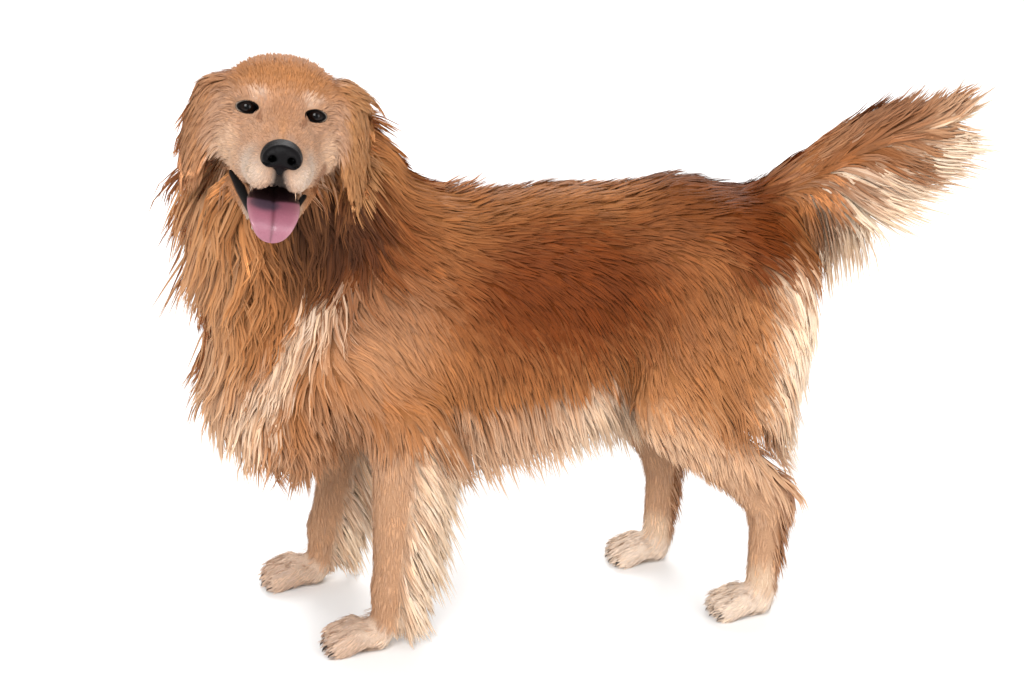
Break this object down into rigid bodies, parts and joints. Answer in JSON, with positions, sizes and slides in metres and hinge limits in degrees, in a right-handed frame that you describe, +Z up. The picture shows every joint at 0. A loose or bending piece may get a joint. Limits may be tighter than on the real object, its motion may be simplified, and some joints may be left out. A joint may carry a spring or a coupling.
{
  "type": "standing long-coated retriever dog",
  "caption": "Life-size standing long-coated retriever with its head turned to its left, mouth open, ears hanging and a plumed tail held out behind.",
  "frame": {"origin": "on the floor, under the middle of the figure's bounding box", "axes": "+Z up, -X the way the body faces, -Y the dog's left side"},
  "size_m": [1.065, 0.439, 0.7845],
  "materials": {
    "coat": "long straight to wavy hair with a soft sheen, cream at the fringes",
    "nose": "moist, finely pebbled, semi-gloss",
    "eye": "wet and polished, dark brown",
    "tongue": "moist, softly grained"
  },
  "bodies": {
    "root": {"torso": "coat", "neck": "coat", "head": "coat", "jaw": "coat", "nose": "nose", "tongue": "tongue", "eye_left": "eye", "eye_right": "eye", "ear_left": "coat", "ear_right": "coat", "foreleg_left": "coat", "foreleg_right": "coat", "forepaw_left": "coat", "forepaw_right": "coat", "thigh_left": "coat", "thigh_right": "coat", "shank_left": "coat", "shank_right": "coat", "hindpaw_left": "coat", "hindpaw_right": "coat", "tail": "coat"}
  },
  "joints": []
}
